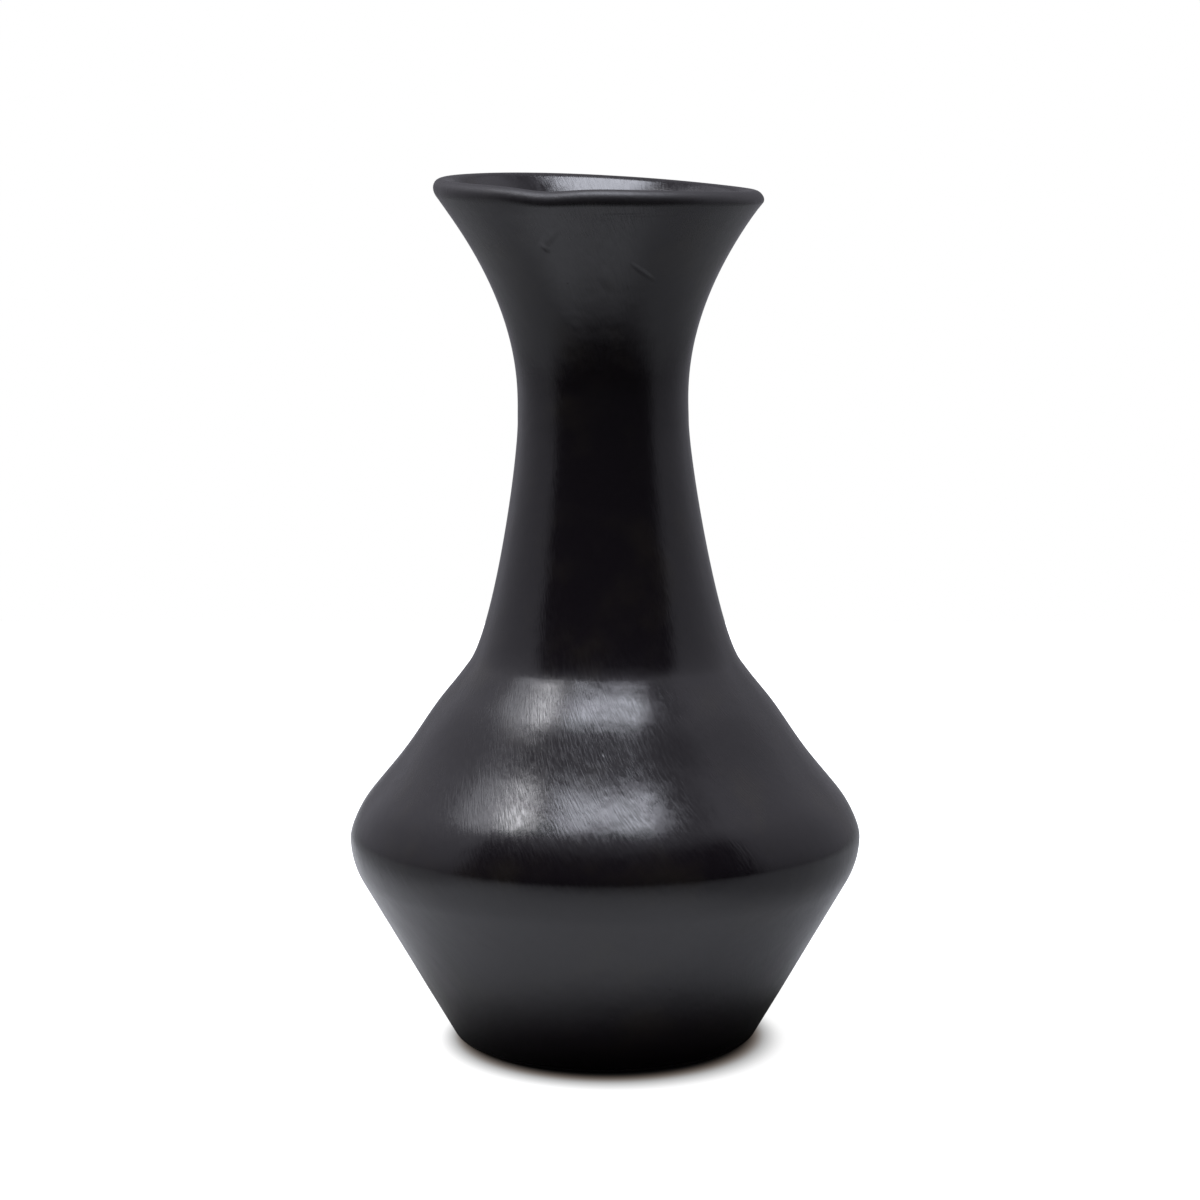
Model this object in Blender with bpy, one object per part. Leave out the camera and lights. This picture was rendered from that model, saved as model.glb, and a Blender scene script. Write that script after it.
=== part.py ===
"""A flared vase: one hollow body of hand-built clay, burnished and fired.

The wall is drawn as half of an upright section: up the outside from the foot, over the lip,
down the inside, across the floor and back under the foot. It is turned round Z, and the body
then gets the unevenness of the hand that made it. The foot stands on Z = 0 with the origin
under its centre, and the front of the vase faces -Y. Lengths are in metres.
"""

import math

import bmesh
import bpy
from mathutils import Vector
from mathutils.geometry import interpolate_bezier

# Rises of the outside, each from where the last one ended
BELLY_HEIGHT = 0.0596  # from the ground to the widest part
SHOULDER_RISE = 0.0516  # from the widest part to the root of the neck
NECK_RISE = 0.0714  # from the root of the neck to the waist, its narrowest part
MOUTH_RISE = 0.0681  # from the waist to the top of the lip

# Widths of the outside
FOOT_DIAMETER = 0.0885
BELLY_DIAMETER = 0.15
NECK_ROOT_DIAMETER = 0.0798
WAIST_DIAMETER = 0.0495
MOUTH_DIAMETER = 0.0948

# How the outside turns from one slope to the next
FOOT_EDGE_RADIUS = 0.0015
BELLY_RADIUS = 0.0242  # of the slow roll in from the widest part towards the foot
ROLL_RISE = 0.0136  # from the widest part up to where its quicker roll inwards ends
ROLL_INSET = 0.0067  # how far inside the widest part that place is
ROLL_PULL = 0.003  # handle lengths of that roll at the widest part and on the shoulder
SHOULDER_PULL = 0.0072
NECK_ROOT_PULL = 0.012  # handle lengths of the two curves that meet at the waist
NECK_PULL = 0.0112
FLARE_PULL = 0.0082
LIP_PULL = 0.041
LIP_LEAN = math.radians(37)  # of the wall under the lip, from upright

# The clay
WALL_THICKNESS = 0.005
FLOOR_THICKNESS = 0.007
LIP_THICKNESS = 0.0055
FLOOR_ROUNDING = 0.009  # height that the wall's turn into the floor takes up
STANDING_RING_WIDTH = 0.011
BASE_HOLLOW = 0.0012  # how far the underside is scooped out inside the standing ring
CORNER_PULL = 0.6  # share of a corner's sides at which Bezier handles round it evenly

# The unevenness of handwork
RIPPLE_DEPTH = 0.00041  # of the shallow hollow that the palm left round the shoulder
RIPPLE_LENGTH = 0.0301  # from one swelling beside that hollow to the next
RIPPLE_RISE = 0.0255  # from the widest part up to the middle of the hollow
BELLY_TILT = math.radians(0.15)  # the right side of the belly is the higher one
BELLY_LEAN = math.radians(3.1)  # and its front stands higher than its back
NECK_DRIFT = 0.0011  # how far the mouth stands left of the foot
LIP_TILT = math.radians(2.34)
LIP_TILT_BEARING = math.radians(-156)  # of its highest side, round Z from +X
LIP_SADDLE = 0.00042  # rise of two opposite sides of the lip over the mean
LIP_SADDLE_BEARING = math.radians(-68)  # of one of those sides
LIP_DIP = 0.00107  # worn dip in the lip, left of the front
LIP_DIP_BEARING = math.radians(-110)
LIP_DIP_SPREAD = math.radians(12)
LIP_SPREAD = 0.56  # how far the lip moves outwards for each metre that it rises
LIP_DEPTH = 0.010  # depth below the lip in which all that dies out

# Fineness of the facets
TURN_STEPS = 60
FOOT_EDGE_STEPS = 3
LOWER_WALL_STEPS = 3
BELLY_STEPS = 5
ROLL_STEPS = 5
SHOULDER_STEPS = 8
NECK_STEPS = 8
FLARE_STEPS = 9
LIP_STEPS = 7
FLOOR_ROUNDING_STEPS = 4
FLOOR_STEPS = 2
BASE_STEPS = 3

NECK_ROOT_HEIGHT = BELLY_HEIGHT + SHOULDER_RISE
WAIST_HEIGHT = NECK_ROOT_HEIGHT + NECK_RISE
TOP_HEIGHT = WAIST_HEIGHT + MOUTH_RISE


def clear_scene():
    for thing in list(bpy.data.objects):
        bpy.data.objects.remove(thing, do_unlink=True)


def eased(share):
    """Runs smoothly from 0 to 1 as the share does, and stays level outside."""
    share = min(max(share, 0.0), 1.0)
    return share * share * (3 - 2 * share)


def leaning(angle):
    """Unit vector in the section, turned outwards from upright by the angle."""
    return Vector((math.sin(angle), math.cos(angle)))


def arc(centre, radius, first, last, steps):
    """Points from one angle to the other, both ends among them."""
    angles = [first + (last - first) * i / steps for i in range(steps + 1)]
    return [centre + radius * Vector((math.cos(a), math.sin(a))) for a in angles]


def straight(start, end, steps):
    return [start.lerp(end, i / steps) for i in range(steps + 1)]


def curve(start, start_pull, end_pull, end, steps):
    """Bezier points between two places, which it leaves and reaches along the pulls."""
    handles = (start.to_3d(), (start + start_pull).to_3d(), (end - end_pull).to_3d(), end.to_3d())
    return [point.to_2d() for point in interpolate_bezier(*handles, steps + 1)]


def rounded_corner(start, corner, end, steps):
    """Nearly a quarter round, from one side of a corner to the other."""
    return curve(start, CORNER_PULL * (corner - start), CORNER_PULL * (end - corner), end, steps)


def touching_angle(place, centre, radius):
    """Angle on the circle at which a straight wall up from the place meets its outside smoothly."""
    away = place - centre
    return math.atan2(away.y, away.x) + math.acos(radius / away.length)


def joined(*stretches):
    """One line from stretches that each start where the one before ends."""
    line = list(stretches[0])
    for stretch in stretches[1:]:
        line += stretch[1:]
    return line


def rippled(point):
    """The shoulder's ripple, which fades out into the belly and into the neck."""
    above_belly = point.y - BELLY_HEIGHT
    fade_in = eased(above_belly / ROLL_RISE)
    fade_out = eased((SHOULDER_RISE - above_belly) / NECK_ROOT_PULL)
    wave = math.cos(2 * math.pi * (above_belly - RIPPLE_RISE) / RIPPLE_LENGTH)
    return Vector((point.x - RIPPLE_DEPTH * wave * fade_in * fade_out, point.y))


def outside_line():
    """From the edge of the foot up to where the lip starts to turn over."""
    foot = Vector((FOOT_DIAMETER / 2, 0))
    belly = Vector((BELLY_DIAMETER / 2, BELLY_HEIGHT))
    roll_end = belly + Vector((-ROLL_INSET, ROLL_RISE))
    neck_root = Vector((NECK_ROOT_DIAMETER / 2, NECK_ROOT_HEIGHT))
    waist = Vector((WAIST_DIAMETER / 2, WAIST_HEIGHT))
    lip = lip_centre() + lip_side() * LIP_THICKNESS / 2

    centre = belly - Vector((BELLY_RADIUS, 0))
    rolling_in = arc(centre, BELLY_RADIUS, touching_angle(foot, centre, BELLY_RADIUS), 0, BELLY_STEPS)
    foot_edge_end = foot + FOOT_EDGE_RADIUS * (rolling_in[0] - foot).normalized()
    lower_wall = straight(foot_edge_end, rolling_in[0], LOWER_WALL_STEPS)

    up = leaning(0)
    inwards = (neck_root - roll_end).normalized()
    rolling_over = curve(belly, ROLL_PULL * up, SHOULDER_PULL * inwards, roll_end, ROLL_STEPS)
    shoulder = straight(roll_end, neck_root, SHOULDER_STEPS)
    neck = curve(neck_root, NECK_ROOT_PULL * inwards, NECK_PULL * up, waist, NECK_STEPS)
    flare = curve(waist, FLARE_PULL * up, LIP_PULL * leaning(LIP_LEAN), lip, FLARE_STEPS)
    return [rippled(p) for p in joined(lower_wall, rolling_in, rolling_over, shoulder, neck, flare)]


def lip_side():
    """Square to the wall under the lip, outwards."""
    return Vector((math.cos(LIP_LEAN), -math.sin(LIP_LEAN)))


def lip_centre():
    return Vector((MOUTH_DIAMETER - LIP_THICKNESS, 2 * TOP_HEIGHT - LIP_THICKNESS)) / 2


def lip_line():
    """Half round over the top of the wall, from its outside to its inside."""
    angles = [-LIP_LEAN + math.pi * i / LIP_STEPS for i in range(LIP_STEPS + 1)]
    return [lip_centre() + LIP_THICKNESS / 2 * Vector((math.cos(a), math.sin(a))) for a in angles]


def inside_line(outside):
    """From inside the lip down the wall, and round into the middle of the floor."""
    wall = [lip_centre() - lip_side() * LIP_THICKNESS / 2]
    for above, point, below in zip(outside[::-1], outside[-2::-1], outside[-3::-1]):
        run = (above - below).normalized()
        thickening = eased((point.y - WAIST_HEIGHT) / MOUTH_RISE)
        thickness = WALL_THICKNESS + (LIP_THICKNESS - WALL_THICKNESS) * thickening
        wall.append(point + thickness * Vector((-run.y, run.x)))
    wall = [p for p in wall if p.y > FLOOR_THICKNESS + FLOOR_ROUNDING]
    turn_start = wall[-1]
    slope = (wall[-2] - turn_start).normalized()
    turn_length = (turn_start.y - FLOOR_THICKNESS) / slope.y
    corner = turn_start - turn_length * slope
    floor_edge = corner - Vector((turn_length, 0))
    turn = rounded_corner(turn_start, corner, floor_edge, FLOOR_ROUNDING_STEPS)
    middle = Vector((0, FLOOR_THICKNESS))
    return joined(wall, turn, straight(floor_edge, middle, FLOOR_STEPS))


def underside_line(foot_edge_end):
    """From the middle of the scooped base out to the standing ring and round the foot's edge."""
    ring_outside = Vector((FOOT_DIAMETER / 2 - FOOT_EDGE_RADIUS, 0))
    ring_inside = ring_outside.x - STANDING_RING_WIDTH
    shares = [i / BASE_STEPS for i in range(BASE_STEPS + 1)]
    base = [Vector((ring_inside * s, BASE_HOLLOW * (1 - s * s))) for s in shares]
    corner = Vector((FOOT_DIAMETER / 2, 0))
    edge = rounded_corner(ring_outside, corner, foot_edge_end, FOOT_EDGE_STEPS)
    return joined(base + [ring_outside], edge)


def section():
    """The whole wall, from the middle of the base round to the middle of the floor."""
    outside = outside_line()
    return joined(underside_line(outside[0]), outside, lip_line(), inside_line(outside))


def uneven(place):
    """Where a point of the true turned shape lies on the vase as the hand left it."""
    x, y, z = place
    outwards = Vector((x, y, 0))
    bearing = math.atan2(y, x)
    on_belly = eased(z / BELLY_HEIGHT) * (1 - eased((z - NECK_ROOT_HEIGHT) / NECK_RISE))
    up_neck = eased((z - NECK_ROOT_HEIGHT) / (NECK_RISE + MOUTH_RISE))
    at_lip = eased((z - TOP_HEIGHT + LIP_DEPTH) / LIP_DEPTH)
    tilt = outwards.length * math.tan(LIP_TILT) * math.cos(bearing - LIP_TILT_BEARING)
    saddle = LIP_SADDLE * math.cos(2 * (bearing - LIP_SADDLE_BEARING))
    dip = LIP_DIP * math.exp(-(((bearing - LIP_DIP_BEARING) / LIP_DIP_SPREAD) ** 2))
    lip_rise = at_lip * (tilt + saddle - dip)
    belly_rise = on_belly * (x * math.tan(BELLY_TILT) - y * math.tan(BELLY_LEAN))
    drifted = Vector((x - NECK_DRIFT * up_neck, y, z + lip_rise + belly_rise))
    return drifted + LIP_SPREAD * lip_rise * outwards.normalized()


def turned_body(name):
    """The section spun once round Z into a closed wall."""
    form = bmesh.new()
    points = [form.verts.new((p.x, 0, p.y)) for p in section()]
    edges = [form.edges.new(pair) for pair in zip(points, points[1:])]
    bmesh.ops.spin(
        form,
        geom=points + edges,
        cent=(0, 0, 0),
        axis=(0, 0, 1),
        angle=2 * math.pi,
        steps=TURN_STEPS,
        use_merge=True,
    )
    bmesh.ops.remove_doubles(form, verts=form.verts, dist=1e-6)
    bmesh.ops.recalc_face_normals(form, faces=form.faces)
    for vert in form.verts:
        vert.co = uneven(vert.co)
    mesh = bpy.data.meshes.new(name)
    form.to_mesh(mesh)
    form.free()
    mesh.shade_smooth()
    mesh.set_sharp_from_angle(angle=math.radians(40))
    return mesh


def burnished_black_clay():
    """Smoke-blackened clay rubbed to a shine with a smooth stone."""
    material = bpy.data.materials.new("burnished_black_clay")
    material.use_nodes = True
    surface = material.node_tree.nodes["Principled BSDF"]
    surface.inputs["Base Color"].default_value = (0.012, 0.011, 0.012, 1)
    surface.inputs["Metallic"].default_value = 0
    surface.inputs["Roughness"].default_value = 0.22
    surface.inputs["IOR"].default_value = 1.6
    return material


def build_vase():
    clear_scene()
    body = bpy.data.objects.new("vase_body", turned_body("vase_body"))
    body.data.materials.append(burnished_black_clay())
    bpy.context.scene.collection.objects.link(body)


build_vase()
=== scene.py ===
"""The looks of a flared vase of burnished blackware, standing on a plain pale table.

The vase is one hollow body of hand-built clay. Half of its wall is drawn as an upright section from
the vase's sizes, and Geometry Nodes turn that section round Z and give it the unevenness of the
hand that made it. Lengths are in metres, +Z is up, and the photographed front faces -Y. The file
is laid out as an add-on and is run as a script.
"""

import math
from functools import partial

import bpy
from bpy.props import FloatProperty, FloatVectorProperty, IntProperty, PointerProperty
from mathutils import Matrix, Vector
from mathutils.geometry import interpolate_bezier


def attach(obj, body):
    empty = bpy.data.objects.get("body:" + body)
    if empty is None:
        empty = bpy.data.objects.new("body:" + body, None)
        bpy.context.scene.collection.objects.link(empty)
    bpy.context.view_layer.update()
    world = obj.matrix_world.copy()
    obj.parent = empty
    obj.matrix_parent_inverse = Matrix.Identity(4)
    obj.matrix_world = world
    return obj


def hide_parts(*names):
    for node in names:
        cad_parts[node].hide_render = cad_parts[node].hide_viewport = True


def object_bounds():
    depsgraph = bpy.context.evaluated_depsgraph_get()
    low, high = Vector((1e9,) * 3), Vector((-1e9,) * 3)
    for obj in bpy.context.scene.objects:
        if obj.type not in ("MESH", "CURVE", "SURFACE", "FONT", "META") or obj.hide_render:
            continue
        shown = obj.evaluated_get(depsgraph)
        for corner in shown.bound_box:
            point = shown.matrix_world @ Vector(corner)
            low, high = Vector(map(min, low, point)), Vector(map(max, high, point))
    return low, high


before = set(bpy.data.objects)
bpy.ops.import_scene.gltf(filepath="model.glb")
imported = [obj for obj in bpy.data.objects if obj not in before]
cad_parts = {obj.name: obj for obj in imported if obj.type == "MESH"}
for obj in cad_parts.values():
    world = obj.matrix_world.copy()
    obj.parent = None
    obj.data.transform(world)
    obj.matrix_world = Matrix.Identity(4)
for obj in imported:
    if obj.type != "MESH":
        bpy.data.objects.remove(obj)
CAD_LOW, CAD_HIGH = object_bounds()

bl_info = {
    "name": "Flared Vase",
    "version": (1, 0, 0),
    "blender": (4, 5, 0),
    "location": "3D View > Sidebar > Flared Vase",
    "description": "Builds a flared vase of burnished blackware and the studio that it stands in",
    "category": "Add Mesh",
}

# Steps along each stretch of the section, about one for each 2 mm
BASE_STEPS = 9
RING_STEPS = 4
FOOT_EDGE_STEPS = 5
LOWER_WALL_STEPS = 28
BELLY_STEPS = 16
ROLL_STEPS = 12
SHOULDER_STEPS = 26
NECK_STEPS = 38
FLARE_STEPS = 38
LIP_STEPS = 14
FLOOR_ROUNDING_STEPS = 8
FLOOR_STEPS = 14
CORNER_PULL = 0.6  # share of a corner's sides at which Bezier handles round it evenly
WELD = 1e-6  # points closer than this are one point

ALONG = "along"  # way along the section from the middle of the base, in metres
BURNISH = "burnish"  # 1 where the stone has polished the clay, 0 where it is raw


def linear(colour):
    """A hex colour, written as it looks on a screen, as linear red, green, blue and alpha."""
    shares = [int(colour[i : i + 2], 16) / 255 for i in (1, 3, 5)]
    return tuple(s / 12.92 if s <= 0.04045 else ((s + 0.055) / 1.055) ** 2.4 for s in shares) + (1,)


def length(name, description, default):
    return FloatProperty(
        name=name, description=description, default=default, precision=5, unit="LENGTH", min=0
    )


def angle(name, description, degrees):
    return FloatProperty(
        name=name, description=description, default=math.radians(degrees), subtype="ANGLE"
    )


def level(name, description, default):
    return FloatProperty(name=name, description=description, default=default, precision=3, min=0)


def colour(name, description, hex_value):
    return FloatVectorProperty(
        name=name,
        description=description,
        default=linear(hex_value),
        size=4,
        subtype="COLOR",
        min=0,
        max=1,
    )


def shift(name, description, sideways):
    return FloatVectorProperty(
        name=name, description=description, default=(*sideways, 0), precision=4, unit="LENGTH"
    )


class VaseSizes(bpy.types.PropertyGroup):
    """The sizes of the wall, the same as those of the solid vase"""

    belly_height: length("Belly Height", "From the ground to the widest part", 0.0596)
    shoulder_rise: length("Shoulder Rise", "From the widest part to the neck's root", 0.0516)
    neck_rise: length("Neck Rise", "From the neck's root to where it is narrowest", 0.0714)
    mouth_rise: length("Mouth Rise", "From the waist to the top of the lip", 0.0681)
    foot_diameter: length("Foot Diameter", "Across the foot", 0.0885)
    belly_diameter: length("Belly Diameter", "Across the widest part", CAD_HIGH.x - CAD_LOW.x)
    neck_root_diameter: length("Neck Root Diameter", "Where the shoulder turns up", 0.0798)
    waist_diameter: length("Waist Diameter", "Where the neck is narrowest", 0.0495)
    mouth_diameter: length("Mouth Diameter", "Across the outside of the lip", 0.0948)
    foot_edge_radius: length("Foot Edge", "Rounding of the edge of the foot", 0.0015)
    belly_radius: length("Belly Radius", "Of the roll in from the widest part down", 0.0242)
    roll_rise: length("Roll Rise", "From the widest part to where its roll inwards ends", 0.0136)
    roll_inset: length("Roll Inset", "How far inside the widest part that place is", 0.0067)
    roll_pull: length("Roll Pull", "Length of that roll's handle at the widest part", 0.003)
    shoulder_pull: length("Shoulder Pull", "Length of that roll's handle on the shoulder", 0.0072)
    neck_root_pull: length("Neck Root Pull", "Length of the handle at the neck's root", 0.012)
    neck_pull: length("Neck Pull", "Length of the neck's handle below the waist", 0.0112)
    flare_pull: length("Flare Pull", "Length of the flare's handle above the waist", 0.0082)
    lip_pull: length("Lip Pull", "Length of the flare's handle under the lip", 0.041)
    lip_lean: angle("Lip Lean", "Lean of the wall under the lip, from upright", 37)
    wall: length("Wall", "Thickness of the wall", 0.005)
    floor: length("Floor", "Thickness of the clay under the hollow", 0.007)
    lip: length("Lip", "Thickness of the rounded lip", 0.0055)
    floor_rounding: length("Floor Rounding", "Height in which the wall turns into the floor", 0.009)
    ring_width: length("Standing Ring", "Width of the ring that the vase stands on", 0.011)
    base_hollow: length("Base Hollow", "Depth of the scooped underside inside the ring", 0.0012)


class HandMarks(bpy.types.PropertyGroup):
    """What the hand of the maker left on the turned shape"""

    ripple_depth: length("Ripple Depth", "Of the shallow hollow round the shoulder", 0.00041)
    ripple_length: length("Ripple Length", "Between the swellings beside that hollow", 0.0301)
    ripple_rise: length("Ripple Rise", "From the widest part to the middle of the hollow", 0.0255)
    belly_tilt: angle("Belly Tilt", "Slope of the belly, up to its right side", 0.15)
    belly_lean: angle("Belly Lean", "Slope of the belly, up to its front", 3.1)
    neck_drift: length("Neck Drift", "How far the mouth stands left of the foot", 0.0011)
    lip_tilt: angle("Lip Tilt", "Lean of the whole lip", 2.34)
    lip_tilt_bearing: angle("Tilt Bearing", "Of its highest side, round Z from +X", -156)
    lip_saddle: length("Lip Saddle", "Rise of two opposite sides over the mean", 0.00042)
    lip_saddle_bearing: angle("Saddle Bearing", "Of one of those two sides", -68)
    lip_dip: length("Lip Dip", "Depth of the worn dip in the lip", 0.00107)
    lip_dip_bearing: angle("Dip Bearing", "Place of the dip", -110)
    lip_dip_spread: angle("Dip Spread", "How far round the dip reaches", 12)
    lip_spread: level("Lip Spread", "How far the lip moves outwards as it rises", 0.56)
    lip_depth: length("Lip Depth", "Depth below the lip in which all that dies out", 0.010)
    lip_wear: level("Lip Wear", "How far the top of the lip has lost its shine, up to 1", 0.5)
    palm_depth: length("Palm Mark Depth", "Of the soft dents that pressing left all over", 0.00004)
    palm_size: length("Palm Mark Size", "Across one of those dents", 0.018)
    turn_steps: IntProperty(
        name="Turn Steps", description="Facets round the vase", default=320, min=3
    )
    seed: IntProperty(name="Seed", description="Picks another scatter of dents", default=4)


class ClayFinish(bpy.types.PropertyGroup):
    """Colours and strokes of the burnished and of the raw clay"""

    black: colour("Burnished Black", "Clay blackened by smoke and rubbed to a shine", "#0C080C")
    smoke: colour("Smoke Cloud", "Where the fire left the clay a little browner", "#15110F")
    raw: colour("Raw Black", "Dull clay inside and underneath", "#252324")
    # Brown mixed into the lowest part of the foot, within the smoke clouds
    foot_brown: colour("Worn Foot", "Brown clay that shows where the foot has rubbed", "#4A3020")
    shine: level("Burnished Roughness", "Of the clay that the stone has polished", 0.16)
    dullness: level("Raw Roughness", "Of the clay that it hasn't", 0.8)
    stroke_width: length("Stroke Width", "Of one fine groove left by the stone", 0.0004)
    stroke_length: length("Stroke Length", "Of one such groove", 0.003)
    stroke_lean: angle("Stroke Lean", "From upright, to the left, on the belly", 22)


class Studio(bpy.types.PropertyGroup):
    """The pale table, its soft lights and the photographed view"""

    paper: colour("Paper", "Matt white paper on the table", "#F4F4F3")
    # Warm tint of the painted shadow round the foot
    painted_shadow_tint: colour("Contact Tint", "Warmth of the paper in the foot's shadow", "#DCC8B8")
    paper_lift: level("Paper Lift", "Added to the paper's brightness where it is seen", 1.0)
    mirrored_lift: level("Mirrored Lift", "Share of that which the clay's shine shows", 0.02)
    # The two circles between which the painted shadow round the foot is drawn
    core_shift: shift("Core Shift", "Middle of the foot's darkest shadow", (0.0005, -0.0037))
    core_inset: length("Core Inset", "How much less its radius is than the foot's", 0.0037)
    contact_shift: shift("Contact Shift", "Middle of the foot's whole shadow", (0.002, -0.0098))
    contact_rim: length("Contact Rim", "How much more its radius is than the foot's", 0.0081)
    # The belly's shade on the paper is painted into its colour as a soft circle; these place it
    shade_shift: shift("Shade Shift", "Where the middle of the belly's shade lies", (0.003, -0.010))
    shade_core: length("Shade Core", "From the foot's edge to where that shade starts to fade", 0.0)
    shade_rim: length("Shade Rim", "From the foot's edge to where it ends", 0.0225)
    shade_floor: level("Shade Floor", "Light left in the depth of it", 0.12)
    # How far the paper's colour is painted dimmer where the clay mirrors it, towards its sides and
    # front
    mirrored_paper: level("Mirrored Paper", "Brightness of the paper in the clay's shine", 0.8)
    mirrored_sides: level("Mirrored Sides", "Brightness of the table's sides in it", 0.43)
    side_middle: length("Side Middle", "From the axis left to the mirrored table's middle", 0.04)
    side_start: length("Side Start", "From there to where its sides start to darken", 0.08)
    side_end: length("Side End", "From there to where they are dark", 0.2)
    fade_start: length("Fade Start", "In front of the axis, where that light starts to fade", 0.1)
    fade_end: length("Fade End", "In front of the axis, where it has faded", 0.34)
    fill: level("Fill", "Even light from all round", 0.1)
    table_reach: length("Table Reach", "From the axis to the table's edges", 0.65)
    camera_distance: length("Camera Distance", "In front of the vase's axis", 1.0058)
    camera_height: length("Camera Height", "Above the table", 0.3133)
    camera_left: length("Camera Left", "How far left of the axis it stands", 0.0015)
    camera_pitch: angle("Camera Pitch", "Below the horizon", 10.353)
    focal_length: FloatProperty(
        name="Focal Length", description="On a 36 mm sensor", default=105.14, unit="CAMERA"
    )


def eased(share):
    """Runs smoothly from 0 to 1 as the share does, and stays level outside."""
    share = min(max(share, 0.0), 1.0)
    return share * share * (3 - 2 * share)


def leaning(lean):
    """Unit vector in the section, turned outwards from upright."""
    return Vector((math.sin(lean), math.cos(lean)))


def arc(centre, radius, first, last, steps):
    angles = [first + (last - first) * i / steps for i in range(steps + 1)]
    return [centre + radius * Vector((math.cos(a), math.sin(a))) for a in angles]


def straight(start, end, steps):
    return [start.lerp(end, i / steps) for i in range(steps + 1)]


def curve(start, start_pull, end_pull, end, steps):
    """Bezier points between two places, which it leaves and reaches along the pulls."""
    handles = (start.to_3d(), (start + start_pull).to_3d(), (end - end_pull).to_3d(), end.to_3d())
    return [point.to_2d() for point in interpolate_bezier(*handles, steps + 1)]


def rounded_corner(start, corner, end, steps):
    return curve(start, CORNER_PULL * (corner - start), CORNER_PULL * (end - corner), end, steps)


def touching_angle(place, centre, radius):
    """Angle on the circle at which a straight wall up from the place meets its outside smoothly."""
    away = place - centre
    return math.atan2(away.y, away.x) + math.acos(radius / away.length)


def joined(*stretches):
    """One line from stretches that each start where the one before ends."""
    line = list(stretches[0])
    for stretch in stretches[1:]:
        line += stretch[1:]
    return line


def neck_root_height(size):
    return size.belly_height + size.shoulder_rise


def waist_height(size):
    return neck_root_height(size) + size.neck_rise


def top_height(size):
    return waist_height(size) + size.mouth_rise


def rippled(point, size, hand):
    """The shoulder's ripple, which fades out into the belly and into the neck."""
    above_belly = point.y - size.belly_height
    fade_in = eased(above_belly / size.roll_rise)
    fade_out = eased((size.shoulder_rise - above_belly) / size.neck_root_pull)
    wave = math.cos(2 * math.pi * (above_belly - hand.ripple_rise) / hand.ripple_length)
    return Vector((point.x - hand.ripple_depth * wave * fade_in * fade_out, point.y))


def lip_side(size):
    """Square to the wall under the lip, outwards."""
    return Vector((math.cos(size.lip_lean), -math.sin(size.lip_lean)))


def lip_centre(size):
    return Vector((size.mouth_diameter - size.lip, 2 * top_height(size) - size.lip)) / 2


def outside_line(size, hand):
    """From the edge of the foot up to where the lip starts to turn over."""
    foot = Vector((size.foot_diameter / 2, 0))
    belly = Vector((size.belly_diameter / 2, size.belly_height))
    roll_end = belly + Vector((-size.roll_inset, size.roll_rise))
    neck_root = Vector((size.neck_root_diameter / 2, neck_root_height(size)))
    waist = Vector((size.waist_diameter / 2, waist_height(size)))
    lip = lip_centre(size) + lip_side(size) * size.lip / 2

    centre = belly - Vector((size.belly_radius, 0))
    wall_end = touching_angle(foot, centre, size.belly_radius)
    rolling_in = arc(centre, size.belly_radius, wall_end, 0, BELLY_STEPS)
    foot_edge_end = foot + size.foot_edge_radius * (rolling_in[0] - foot).normalized()
    lower_wall = straight(foot_edge_end, rolling_in[0], LOWER_WALL_STEPS)

    up = leaning(0)
    inwards = (neck_root - roll_end).normalized()
    over = (size.roll_pull * up, size.shoulder_pull * inwards)
    rolling_over = curve(belly, *over, roll_end, ROLL_STEPS)
    shoulder = straight(roll_end, neck_root, SHOULDER_STEPS)
    neck = curve(neck_root, size.neck_root_pull * inwards, size.neck_pull * up, waist, NECK_STEPS)
    flare_end = size.lip_pull * leaning(size.lip_lean)
    flare = curve(waist, size.flare_pull * up, flare_end, lip, FLARE_STEPS)
    line = joined(lower_wall, rolling_in, rolling_over, shoulder, neck, flare)
    return [rippled(point, size, hand) for point in line]


def inside_line(size, outside):
    """From inside the lip down the wall, and round into the middle of the floor."""
    wall = [lip_centre(size) - lip_side(size) * size.lip / 2]
    for above, point, below in zip(outside[::-1], outside[-2::-1], outside[-3::-1]):
        run = (above - below).normalized()
        thickening = eased((point.y - waist_height(size)) / size.mouth_rise)
        thickness = size.wall + (size.lip - size.wall) * thickening
        wall.append(point + thickness * Vector((-run.y, run.x)))
    seen = [p for p in wall if p.y > waist_height(size)]
    hidden = [p for p in wall[len(seen) :: 2] if p.y > size.floor + size.floor_rounding]
    wall = seen + hidden
    turn_start = wall[-1]
    slope = (wall[-2] - turn_start).normalized()
    turn_length = (turn_start.y - size.floor) / slope.y
    corner = turn_start - turn_length * slope
    floor_edge = corner - Vector((turn_length, 0))
    turn = rounded_corner(turn_start, corner, floor_edge, FLOOR_ROUNDING_STEPS)
    return joined(wall, turn, straight(floor_edge, Vector((0, size.floor)), FLOOR_STEPS))


def underside_line(size, foot_edge_end):
    """From the middle of the scooped base out to the standing ring and round the foot's edge."""
    ring_outside = Vector((size.foot_diameter / 2 - size.foot_edge_radius, 0))
    ring_inside = ring_outside - Vector((size.ring_width, 0))
    shares = [i / BASE_STEPS for i in range(BASE_STEPS + 1)]
    base = [Vector((ring_inside.x * s, size.base_hollow * (1 - s * s))) for s in shares]
    ring = straight(ring_inside, ring_outside, RING_STEPS)
    corner = Vector((size.foot_diameter / 2, 0))
    return joined(base, ring, rounded_corner(ring_outside, corner, foot_edge_end, FOOT_EDGE_STEPS))


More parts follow.
